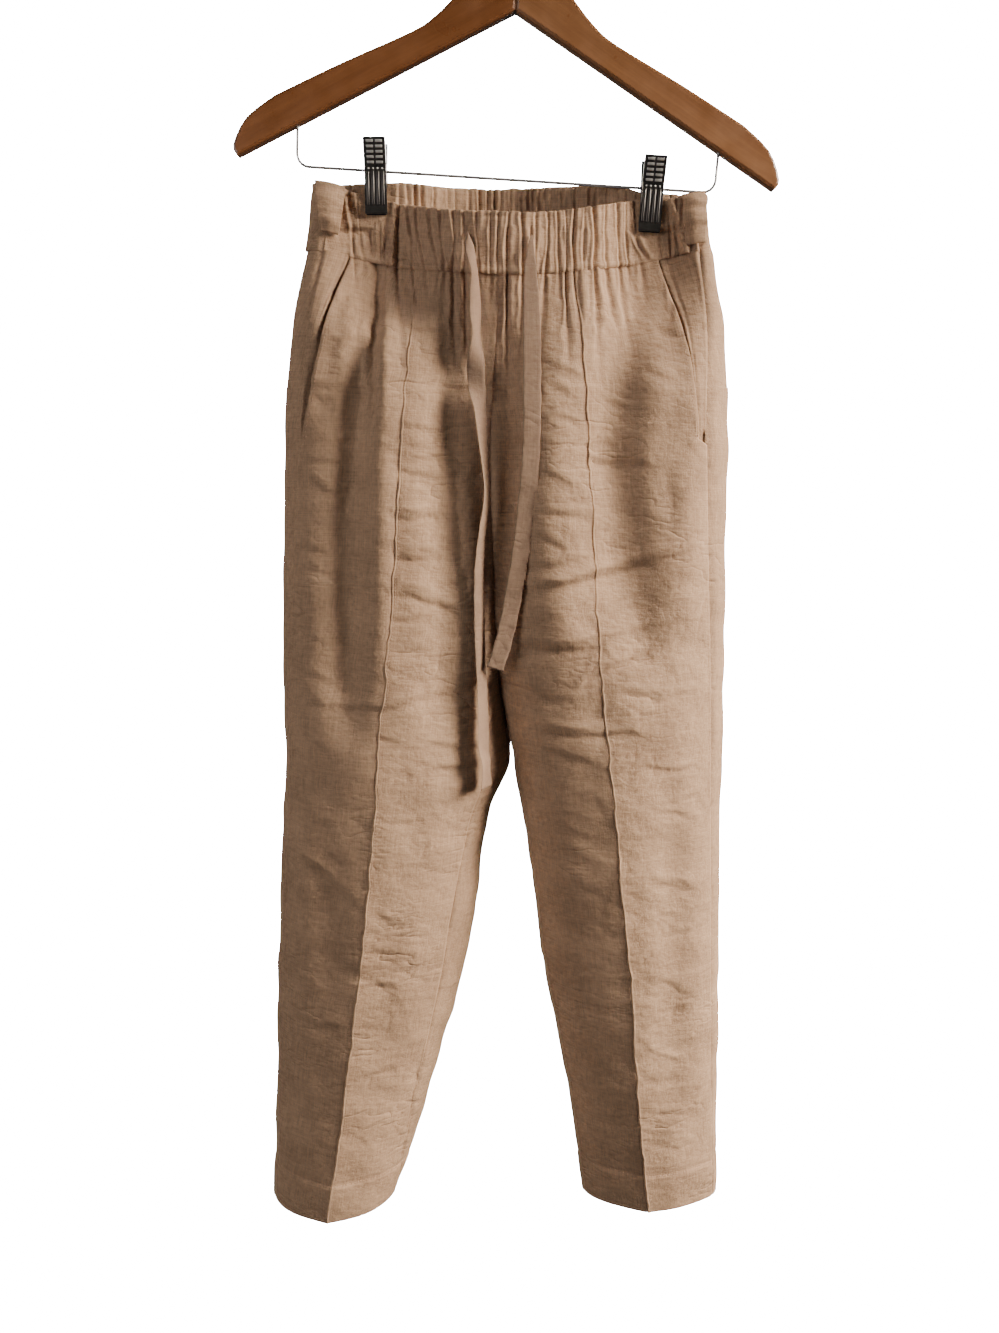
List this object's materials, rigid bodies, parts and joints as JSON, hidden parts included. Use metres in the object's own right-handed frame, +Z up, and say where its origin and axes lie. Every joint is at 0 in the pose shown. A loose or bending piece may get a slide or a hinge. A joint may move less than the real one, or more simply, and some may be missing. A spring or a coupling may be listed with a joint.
{
  "type": "linen drawstring trousers on a wooden clip hanger",
  "caption": "Tapered linen trousers with a gathered drawstring waist and slant pockets, hung by the waistband from a wooden hanger with spring clips.",
  "frame": {"origin": "inside crown of the hanger's hook, where it hangs on a rail", "axes": "+Z up, the trousers' front faces -Y, +X to the viewer's right; the trousers hang plumb along Z"},
  "size_m": [0.4452, 0.1178, 1.1594],
  "materials": {
    "linen": "matt slubby plain-weave linen",
    "wood": "satin lacquer",
    "steel": "bright wire",
    "clip_steel": "dark ribbed sheet steel",
    "rubber": "matt"
  },
  "bodies": {
    "root": {"front_left_hip": "linen", "front_left_thigh": "linen", "front_left_knee": "linen", "front_left_shin": "linen", "front_right_hip": "linen", "front_right_thigh": "linen", "front_right_knee": "linen", "front_right_shin": "linen", "back_left_hip": "linen", "back_left_thigh": "linen", "back_left_knee": "linen", "back_left_shin": "linen", "back_right_hip": "linen", "back_right_thigh": "linen", "back_right_knee": "linen", "back_right_shin": "linen", "pocket_facing_left": "linen", "pocket_facing_right": "linen", "waistband_front": "linen", "waistband_back": "linen", "belt_loop_left": "linen", "belt_loop_right": "linen", "drawstring_left": "linen", "drawstring_right": "linen", "hanger_arm_left": "wood", "hanger_arm_right": "wood", "hanger_hook": "steel", "hanger_bar": "steel", "clip_left_front": "clip_steel", "clip_left_back": "clip_steel", "clip_left_coil": "clip_steel", "clip_right_front": "clip_steel", "clip_right_back": "clip_steel", "clip_right_coil": "clip_steel", "clip_left_front_pad": "rubber", "clip_left_back_pad": "rubber", "clip_right_front_pad": "rubber", "clip_right_back_pad": "rubber"}
  },
  "joints": []
}
